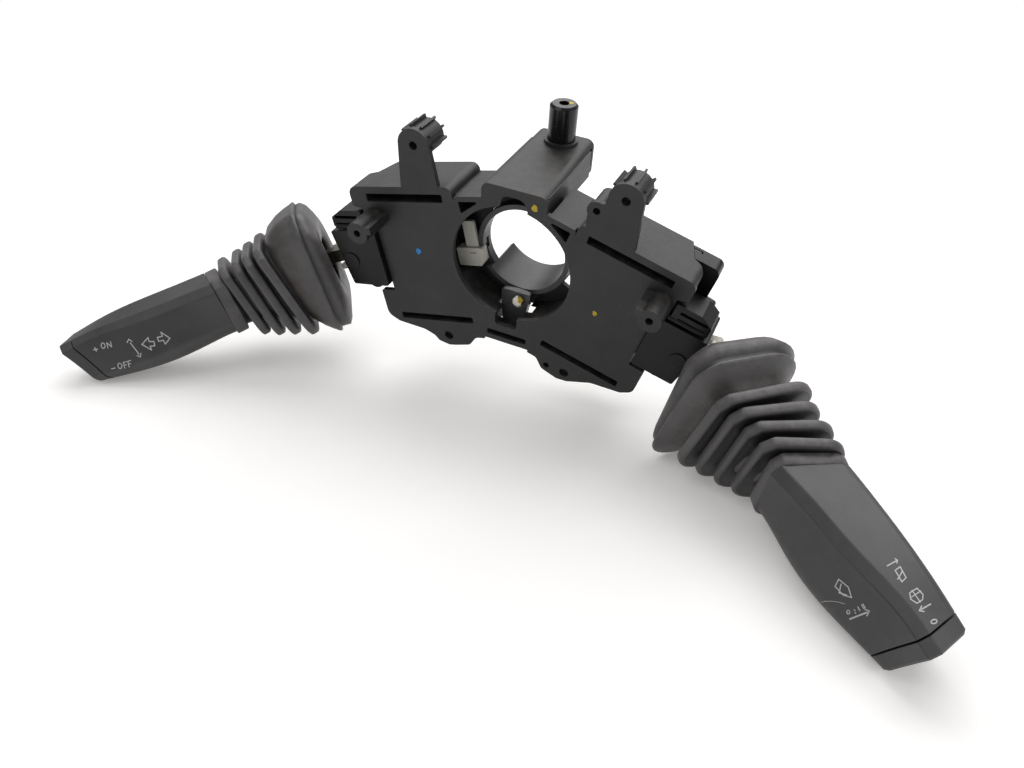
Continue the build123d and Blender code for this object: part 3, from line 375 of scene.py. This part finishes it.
# Station on the lever, width, height, offsets back and up, yaw and pitch.
FINS = {
    "right": [(-10.9, 33.8, 36.0, 0.0, -0.9, 18.0, 13.0), (-18.3, 36.8, 39.4, -1.1, -1.2, 13.5, 12.5),
              (-25.6, 39.4, 41.8, -3.6, 0.0, 6.5, 13.5), (-33.1, 45.0, 44.5, -5.3, 1.4, 0.0, 14.5)],
    "left": [(-10.2, 33.4, 35.0, 1.6, -1.2, 8.0, 7.7), (-16.9, 36.3, 38.0, 0.4, -1.8, 4.6, 6.4),
             (-23.5, 38.5, 41.0, -2.7, -1.5, 3.6, 7.4), (-30.6, 44.0, 44.5, -5.4, -1.3, 3.1, 9.0)],
}
# Flared bell behind the fins, as far as its ridge, then the dome that closes over the lever's knuckle.
BELL = {
    "right": [(-36.2, 36.5, 36.0, -6.0, 1.4, 0.0, 14.5), (-38.0, 37.6, 38.0, -6.2, 1.3, 0.0, 14.5),
              (-40.6, 40.6, 43.0, -6.4, 1.1, 0.0, 14.3), (-43.2, 45.4, 50.6, -6.4, 0.7, 0.2, 14.0),
              (-44.8, 49.0, 56.6, -6.2, 0.4, 0.4, 14.0), (-45.5, 50.0, 58.2, -6.1, 0.3, 0.4, 14.0),
              (-46.2, 49.8, 58.0, -6.0, 0.3, 0.5, 13.8)],
    "left": [(-33.8, 38.0, 39.0, -4.4, 1.0, 3.0, 7.0), (-35.6, 41.0, 43.0, -4.2, 1.6, 3.0, 5.0),
             (-39.2, 44.4, 48.4, -4.2, 1.6, 2.5, 1.5), (-43.0, 47.0, 52.4, -4.4, 1.2, 2.0, -1.0),
             (-45.4, 48.8, 54.4, -4.6, 0.8, 2.0, -2.2), (-46.2, 49.6, 55.2, -4.6, 0.8, 2.0, -2.4),
             (-46.9, 49.4, 55.0, -4.6, 0.8, 1.8, -2.4)],
}
DOME = {
    "right": [(-46.6, 47.6, 55.4, -5.8, 0.8, 0.8, 13.2), (-47.3, 48.0, 55.8, -5.4, 1.3, 1.6, 12.4),
              (-49.4, 50.4, 57.6, -4.7, 2.2, 2.6, 10.0), (-51.8, 48.4, 54.0, -4.5, 2.2, 3.0, 7.0),
              (-53.8, 43.4, 47.4, -4.4, 1.5, 2.0, 4.0), (-55.0, 38.6, 41.0, -4.5, 1.1, 1.0, 2.0)],
    "left": [(-47.3, 46.6, 52.2, -4.6, 0.8, 1.6, -2.3), (-47.9, 46.6, 52.4, -4.6, 0.8, 1.2, -2.0),
             (-50.6, 47.4, 52.8, -4.6, 0.7, 0.5, 0.2), (-52.2, 45.2, 49.4, -4.6, 0.8, 0.0, 0.0),
             (-53.6, 41.4, 42.8, -4.6, 0.9, 0.0, 0.0), (-54.6, 37.0, 36.4, -4.6, 0.9, 0.0, 0.0)],
}
# Painted shade and dirt of the bell's and the dome's sections: dirt with painted shade in the crease behind
# the fins, painted shade in the groove where the dome begins.
BELL_SHADE_AND_DIRT = [DIRT_AND_SHADE, DIRT_AND_SHADE, 0.9, 0.58] + [PLAIN] * 3 + [0.1, 0.1] + [PLAIN] * 4
# Hollow inside, in from the dome's mouth: a membrane round the yoke, then the wall.
# Station, width, height, offsets back and up.
INSIDE = [(-54.8, 34.0, 33.0, -4.6, 0.9), (-54.3, 27.0, 27.0, -4.6, 0.9), (-53.6, 20.0, 20.0, -4.0, 0.6),
          (-52.4, 20.0, 20.0, -4.0, 0.6), (-51.8, 30.0, 30.0, -4.6, 0.9), (-48.0, 41.0, 41.0, -4.6, 0.9),
          (-41.0, 40.0, 40.0, -4.6, 0.9), (-36.0, 34.0, 33.0, -4.6, 0.9), (-24.0, 26.0, 25.0, -2.6, -0.7),
          (-9.0, 19.0, 17.0, 0.0, 0.0), (-4.0, 17.0, 15.0, 0.0, 0.0), (-1.5, 12.0, 10.0, 0.0, 0.0)]


def rounded(points, radii):
    """Closed outline of a polygon with rounded corners, always with the same number of points."""
    n, arcs = len(points), []
    for i in range(n):
        p, a, b = Vector(points[i]), Vector(points[i - 1]), Vector(points[(i + 1) % n])
        u, v = (a - p).normalized(), (b - p).normalized()
        half = u.angle(v) / 2
        r = min(radii[i], 0.49 * min((a - p).length, (b - p).length) * tan(half))
        centre = p + (u + v).normalized() * (r / sin(half))
        start, end = p + u * (r / tan(half)) - centre, p + v * (r / tan(half)) - centre
        a0 = atan2(start.y, start.x)
        turn = (atan2(end.y, end.x) - a0 + pi) % (2 * pi) - pi
        steps = [a0 + turn * k / (CORNER_STEPS - 1) for k in range(CORNER_STEPS)]
        arcs.append([centre + Vector((cos(a), sin(a))) * r for a in steps])
    out = []
    for i, arc in enumerate(arcs):
        out += arc
        nxt = arcs[(i + 1) % n][0]
        out += [arc[-1].lerp(nxt, k / EDGE_STEPS) for k in range(1, EDGE_STEPS)]
    return out


def boot_section(w, h, back, up, bevel, radii):
    """Outline of one section: a rounded box whose front leans back, with a bevelled front top edge."""
    hw, hh, lean = w / 2, h / 2, FRONT_LEAN * w
    pts = [(-hw, -hh), (-hw + lean, hh - bevel), (-hw + lean + bevel, hh), (hw, hh), (hw, -hh)]
    return rounded([(x + back, y + up) for x, y in pts], radii)


def neck_radii(w):
    return [0.2 * w, 2.0, 2.0, 0.2 * w, 0.2 * w]


def fin_radii(w):
    return [0.19 * w, 2.6, 2.6, 0.24 * w, 0.22 * w]


def bell_radii(w):
    return [0.22 * w, 8.0, 8.0, 0.36 * w, 0.28 * w]


def inside_radii(w):
    return [0.28 * w, 0.1 * w, 0.1 * w, 0.31 * w, 0.31 * w]


def boot_sections(side):
    """(station, offset along the normal, yaw, pitch, outline, painted shade and dirt value) from the grip's
    end to the inside.
    """
    rows = []

    def add(place, offset, w, h, bevel, radii, wear=PLAIN):
        station, back, up, yaw, pitch = place
        rows.append((station, offset, yaw, pitch, boot_section(w, h, back, up, bevel, radii), wear))

    s, w, h, *shift = COLLAR
    for offset, cut in COLLAR_ROUND:
        add((s, *shift), offset, w - cut, h - cut, COLLAR_BEVEL, COLLAR_RADII)
    for s, w, h, *shift in FINS[side]:
        neck_w, neck_h = w - 2 * FIN_DEEP, h - 2 * FIN_DEEP - 1.0
        # The neck's rows before and after each fin carry painted shade.
        for offset, grow in NECK_BEFORE:
            add((s, *shift), offset, neck_w + grow, neck_h + grow, FIN_BEVEL, neck_radii(neck_w), GAP_SHADE)
        for offset, cut in FIN_ROUND:
            add((s, *shift), offset, w - cut, h - cut, FIN_BEVEL, fin_radii(w))
        for offset, grow in NECK_AFTER:
            add((s, *shift), offset, neck_w + grow, neck_h + grow, FIN_BEVEL, neck_radii(neck_w), GAP_SHADE)
    for wear, (s, w, h, *shift) in zip(BELL_SHADE_AND_DIRT, BELL[side] + DOME[side]):
        add((s, *shift), 0.0, w, h, BELL_BEVEL, bell_radii(w), wear)
    for s, w, h, back, up in INSIDE:
        add((s, back, up, 0.0, 0.0), 0.0, w, h, 0.1 * w, inside_radii(w))
    return rows


def make_boot(side):
    base, back, up, along = lever_frame(side)
    bm = bmesh.new()
    loops, shade_and_dirt_values = [], []
    for s, d, yaw, pitch, outline, wear in boot_sections(side):
        shade_and_dirt_values += [wear] * len(outline)
        t, q = radians(yaw), radians(pitch)
        x_dir, turned = back * cos(t) + along * sin(t), along * cos(t) - back * sin(t)
        y_dir, z_dir = up * cos(q) + turned * sin(q), turned * cos(q) - up * sin(q)
        origin = base + along * s + z_dir * d
        loops.append([bm.verts.new((origin + x_dir * p.x + y_dir * p.y) * MM) for p in outline])
    skinned(bm, loops)
    o = finished(bm, side + "_boot_rubber", MATS["rubber"], smooth=True)
    # Values of painted shade and dirt for each point, read by the rubber material.
    o.data.attributes.new("wear", "FLOAT", "POINT").data.foreach_set("value", shade_and_dirt_values)
    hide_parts(side + "_boot")
    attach(o, side + "_lever")


for side in ("left", "right"):
    make_boot(side)


# ------------------------------------------------------------------ prints on the knobs
QUAD_PX = 2.0  # longest piece of a stroke, so that it follows the surface
STROKE_OVERRUN = 0.9  # of half the stroke's width, past either end
PRINT_LIFT = 0.00006
RING_STEPS = 14
# Corner in the picture and enlargement of the crops that the marks were measured in.
LEFT_CROP, RIGHT_CROP = (60, 190, 5), (640, 330, 4.375)

# Width in picture pixels, closed or not, then the stroke's points in the crop.
LEFT_STROKES = [
    # The slanting double arrow.
    (1.0, False, [(352, 764), (395, 820)]),
    (0.9, False, [(336, 762), (344, 746), (361, 757)]),
    (0.9, False, [(386, 828), (402, 834), (405, 817)]),
    # The two outlined arrows.
    (1.0, True, [(410, 772), (440, 738), (446, 758), (470, 757), (474, 779), (451, 781), (458, 800)]),
    (1.0, True, [(550, 741), (505, 711), (512, 731), (487, 737), (494, 757), (517, 751), (527, 770)]),
    # Plus and minus.
    (1.0, False, [(168, 799), (188, 795)]),
    (1.0, False, [(174, 788), (182, 806)]),
    (1.0, False, [(259, 894), (275, 890)]),
    # N.
    (0.9, False, [(240, 790), (234, 764), (259, 784), (253, 758)]),
    # F and F.
    (0.9, False, [(324, 890), (317, 862), (332, 858)]),
    (0.8, False, [(321, 876), (333, 873)]),
    (0.9, False, [(346, 884), (339, 856), (354, 852)]),
    (0.8, False, [(343, 870), (354, 867)]),
]
RIGHT_STROKES = [
    # Washer symbol.
    (1.1, True, [(870, 1090), (854, 1122), (890, 1160), (926, 1170), (912, 1125)]),
    (1.2, False, [(880, 1112), (872, 1150), (905, 1160)]),
    # Speed marks over the wedge.
    (1.1, False, [(938, 1224), (941, 1227)]),
    (1.1, False, [(942, 1236), (944, 1239)]),
    (1.1, False, [(954, 1212), (962, 1227)]),
    (1.1, False, [(970, 1202), (980, 1218)]),
    (1.1, False, [(976, 1199), (986, 1215)]),
    (1.7, False, [(920, 1264), (992, 1236)]),
    (1.2, False, [(985, 1222), (1004, 1230), (993, 1250)]),
    # Arrow and rear window symbol.
    (1.3, False, [(1082, 1032), (1122, 1010)]),
    (1.1, False, [(1116, 1001), (1126, 1008), (1124, 1020)]),
    (1.1, True, [(1116, 1052), (1138, 1036), (1164, 1084), (1146, 1102)]),
    (1.2, False, [(1128, 1090), (1148, 1056)]),
    # Windscreen symbol and its arrow.
    (1.1, True, [(1180, 1150), (1212, 1130), (1238, 1158), (1236, 1180), (1212, 1196), (1184, 1178)]),
    (1.0, False, [(1190, 1140), (1226, 1190)]),
    (1.0, False, [(1228, 1142), (1186, 1170)]),
    (1.5, False, [(1270, 1200), (1232, 1222)]),
    (1.2, False, [(1232, 1208), (1222, 1228), (1242, 1232)]),
]
SCRATCH = [(0.5, False, [(784, 1192), (810, 1187), (838, 1186), (866, 1190), (896, 1198)])]
# Rings for the letter O and the noughts: width, centre in the crop, radii in the picture, turn.
LEFT_RINGS = [(0.9, 216, 778, 1.9, 2.7, -0.25), (0.9, 300, 879, 1.9, 2.7, -0.25)]
RIGHT_RINGS = [(1.0, 912, 1234, 1.5, 1.9, 0.0), (1.3, 1286, 1276, 3.0, 2.0, -0.25)]


def tree_of(*names):
    deps = bpy.context.evaluated_depsgraph_get()
    return [BVHTree.FromObject(NODES[n], deps) for n in names]


def stroke(pts, width, closed=False):
    """Quads along a run of picture points, as lists of four points."""
    if closed:
        pts = pts + [pts[0]]
    quads = []
    for a, b in zip(pts, pts[1:]):
        steps = max(1, int((b - a).length / QUAD_PX))
        d = (b - a).normalized() * (width / 2)
        side = Vector((-d.y, d.x))
        start, end = a - d * STROKE_OVERRUN, b + d * STROKE_OVERRUN
        for k in range(steps):
            p, q = start.lerp(end, k / steps), start.lerp(end, (k + 1) / steps)
            quads.append([p + side, q + side, q - side, p - side])
    return quads


def ring(centre, rx, ry, turn):
    """Points of a turned ellipse."""
    pts = []
    for k in range(RING_STEPS):
        a = 2 * pi * k / RING_STEPS
        x, y = rx * cos(a), ry * sin(a)
        pts.append(centre + Vector((x * cos(turn) - y * sin(turn), x * sin(turn) + y * cos(turn))))
    return pts


def decal(name, crop, strokes, rings, trees, body):
    """Printed strokes and rings laid on the surface that the camera sees behind them."""
    left, top, zoom = crop

    def placed(x, y):
        return Vector((left + x / zoom, top + y / zoom))

    quads = []
    for width, closed, points in strokes:
        quads += stroke([placed(x, y) for x, y in points], width, closed)
    for width, x, y, rx, ry, turn in rings:
        quads += stroke(ring(placed(x, y), rx, ry, turn), width, closed=True)
    bm = bmesh.new()
    for q in quads:
        got = [hit(trees, p.x, p.y, PRINT_LIFT) for p in q]
        if all(got):
            bm.faces.new([bm.verts.new(g[0]) for g in got])
    bmesh.ops.recalc_face_normals(bm, faces=bm.faces)
    for f in bm.faces:
        if f.normal.dot(CAM_AT - f.calc_center_median()) < 0:
            f.normal_flip()
    o = finished(bm, name, PRINT)
    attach(o, body)


LEFT_GRIP = tree_of("left_grip_front", "left_grip_rear")
RIGHT_GRIP = tree_of("right_grip_front", "right_grip_rear")
decal("left_print", LEFT_CROP, LEFT_STROKES, LEFT_RINGS, LEFT_GRIP, "left_lever")
decal("right_print", RIGHT_CROP, RIGHT_STROKES, RIGHT_RINGS, RIGHT_GRIP, "right_lever")
decal("right_scratch", RIGHT_CROP, SCRATCH, [], RIGHT_GRIP, "right_lever")


# ------------------------------------------------------------------ dabs of marking paint
DAB_SQUASH = 0.85
DAB_STEPS = 28
# Part of the radius and height in millimetres, from under the surface up to the dome's top.
DAB_PROFILE = ((1.0, -0.05), (0.97, 0.05), (0.85, 0.12), (0.55, 0.17), (0.25, 0.185))
# Name, picture point, radius in millimetres, node it lies on, body and paint.
DABS = [
    ("paint_dab_blue", 418.5, 251.3, 1.35, "bracket_housing", "bracket", BLUE),
    ("paint_dab_right", 594.7, 313.6, 1.15, "bracket_housing", "bracket", YELLOW),
    ("paint_dab_top", 534.6, 208.6, 1.45, "bracket_housing", "bracket", YELLOW),
    ("paint_dab_post", 571.5, 103.2, 1.2, "clamp_post", "bracket", YELLOW),
    ("paint_dab_screw", 520.2, 300.3, 1.3, "collar_screw", "bracket", YELLOW),
]


def dab(name, px, py, radius, node, body, material):
    """A thin domed dab of paint on the surface at that point of the picture."""
    got = hit(tree_of(node), px, py)
    if got is None:
        return
    at, normal = got
    x_dir = normal.cross(Vector((0, 0, 1)))
    x_dir = x_dir.normalized() if x_dir.length > 0.1 else Vector((1, 0, 0))
    y_dir = normal.cross(x_dir)
    bm = bmesh.new()
    rows = []
    for part, height in DAB_PROFILE:
        row = []
        for k in range(DAB_STEPS):
            a = 2 * pi * k / DAB_STEPS
            wobble = 1 + 0.09 * sin(3 * a + px) + 0.05 * sin(5 * a + py)
            flat = x_dir * cos(a) * radius * DAB_SQUASH + y_dir * sin(a) * radius
            row.append(bm.verts.new(at + flat * (part * wobble * MM) + normal * (height * MM)))
        rows.append(row)
    skinned(bm, rows)
    o = finished(bm, name, material, smooth=True)
    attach(o, body)


for row in DABS:
    dab(*row)


# ------------------------------------------------------------------ floor, world and lights
TIP_X, MIDDLE_X = 0.12, 0.06  # the knobs' tips lie outside the first, the bracket's middle inside the second
FLOOR_HALF, FLOOR_GAP = 3, 0.0002
PAPER_SCALE = 14
PALE_FROM = (0.02, -0.02, -0.06)  # the floor turns to plain white away from this point
# Distances from that point over which the tint, and then all shading, fades.
TINT_FADE, SHADE_FADE = (0.20, 0.42), (0.30, 0.55)
PAPER = (0.93, 0.918, 0.895), (0.96, 0.95, 0.93)
WHITE = (1.0, 1.0, 1.0)
BOUNCE = (0.82, 0.81, 0.80)  # the floor as the object sees it
FLOOR_LIFT = 0.20  # light added where the camera sees the floor, so that only the shadows show
SURROUND = (0.36, 0.365, 0.38)
LOOK_AT = Vector((0, 0, -0.03))
# Name, place, width, height and power.
LIGHTS = [
    ("key", (-0.15, 0.60, 0.62), 1.3, 0.8, 8.0),
    ("fill", (-0.45, -0.35, 0.85), 0.6, 0.6, 1.6),
    ("side", (0.75, -0.05, 0.60), 0.5, 0.5, 1.4),
]


def floor_plane():
    """Plane that the knobs' tips and the bracket's underside rest on, to the nearest degree."""
    deps = bpy.context.evaluated_depsgraph_get()
    cloud = []
    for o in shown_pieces():
        e = o.evaluated_get(deps)
        cloud += [o.matrix_world @ v.co for v in e.data.vertices]
    thirds = ([p for p in cloud if p.x > TIP_X], [p for p in cloud if p.x < -TIP_X],
              [p for p in cloud if abs(p.x) < MIDDLE_X])
    best = None
    for a in range(-14, 3):
        for b in range(-10, 11):
            n = Vector((tan(radians(a)), tan(radians(b)), 1)).normalized()
            low = min(p.dot(n) for p in cloud)
            spread = sum(min(p.dot(n) - low for p in third) for third in thirds)
            if best is None or spread < best[0]:
                best = (spread, n, low)
    return best[1], best[2]


def seen_by(t, *rays):
    """1 for these kinds of ray, 0 for the others."""
    path = t.nodes.new("ShaderNodeLightPath")
    total = path.outputs[rays[0]]
    for name in rays[1:]:
        total = math(t, "ADD", total, path.outputs[name])
    return total


def emission(t, colour):
    n = t.nodes.new("ShaderNodeEmission")
    n.inputs["Color"].default_value = (*colour, 1)
    return n


def fade(t, distance, between):
    start, end = between
    return ramp(t, distance.outputs["Value"], [(start, 0.0), (end, 1.0)])


def floor_material():
    """Near white paper that the camera sees fade to plain white at a distance from the part."""
    m, t, p = new_material("floor")
    seen = seen_by(t, "Is Camera Ray", "Is Glossy Ray", "Is Transmission Ray")
    co = t.nodes.new("ShaderNodeNewGeometry").outputs["Position"]
    dist = t.nodes.new("ShaderNodeVectorMath")
    dist.operation = "DISTANCE"
    dist.inputs[1].default_value = PALE_FROM
    link(t, co, dist.inputs[0])
    patches = ramp(t, noise(t, co, PAPER_SCALE, 3), [(0.4, 0.0), (0.6, 1.0)])
    tint = mix(t, fade(t, dist, TINT_FADE), mix(t, patches, *PAPER), WHITE)
    link(t, mix(t, seen, BOUNCE, tint), p.inputs["Base Color"])
    p.inputs["Roughness"].default_value = 0.9
    p.inputs["Specular IOR Level"].default_value = 0.1

    lift = emission(t, (1.0, 0.965, 0.925))
    link(t, math(t, "MULTIPLY", seen, FLOOR_LIFT), lift.inputs["Strength"])
    lit = t.nodes.new("ShaderNodeAddShader")
    link(t, p.outputs[0], lit.inputs[0])
    link(t, lift.outputs[0], lit.inputs[1])
    glow = emission(t, WHITE)
    shade = t.nodes.new("ShaderNodeMixShader")
    link(t, math(t, "MULTIPLY", fade(t, dist, SHADE_FADE), seen), shade.inputs[0])
    link(t, lit.outputs[0], shade.inputs[1])
    link(t, glow.outputs[0], shade.inputs[2])
    link(t, shade.outputs[0], t.nodes["Material Output"].inputs["Surface"])
    return m


def make_floor():
    normal, height = floor_plane()
    print("floor normal", tuple(round(v, 4) for v in normal), "at", round(height, 5))
    floor_x = normal.orthogonal().normalized()
    floor_y = normal.cross(floor_x)
    middle = normal * (height - FLOOR_GAP)
    bm = bmesh.new()
    corners = [middle + floor_x * (FLOOR_HALF * i) + floor_y * (FLOOR_HALF * j)
               for i, j in ((-1, -1), (1, -1), (1, 1), (-1, 1))]
    bm.faces.new([bm.verts.new(c) for c in corners])
    floor = finished(bm, "floor", floor_material())


def make_world():
    """White where the camera sees it, a dimmer grey for everything it lights."""
    world = bpy.data.worlds.new("world")
    scene.world = world
    world.use_nodes = True
    t = world.node_tree
    seen = seen_by(t, "Is Camera Ray", "Is Transmission Ray")
    link(t, mix(t, seen, SURROUND, WHITE), t.nodes["Background"].inputs["Color"])
    t.nodes["Background"].inputs["Strength"].default_value = 1.0


def area(name, at, w, h, power):
    data = bpy.data.lights.new(name, "AREA")
    data.shape = "RECTANGLE"
    data.size, data.size_y, data.energy = w, h, power
    o = bpy.data.objects.new(name, data)
    o.location = at
    o.rotation_mode = "QUATERNION"
    o.rotation_quaternion = (LOOK_AT - Vector(at)).to_track_quat("-Z", "Y")
    scene.collection.objects.link(o)


make_floor()
make_world()
for row in LIGHTS:
    area(*row)

scene.view_settings.view_transform = "Standard"
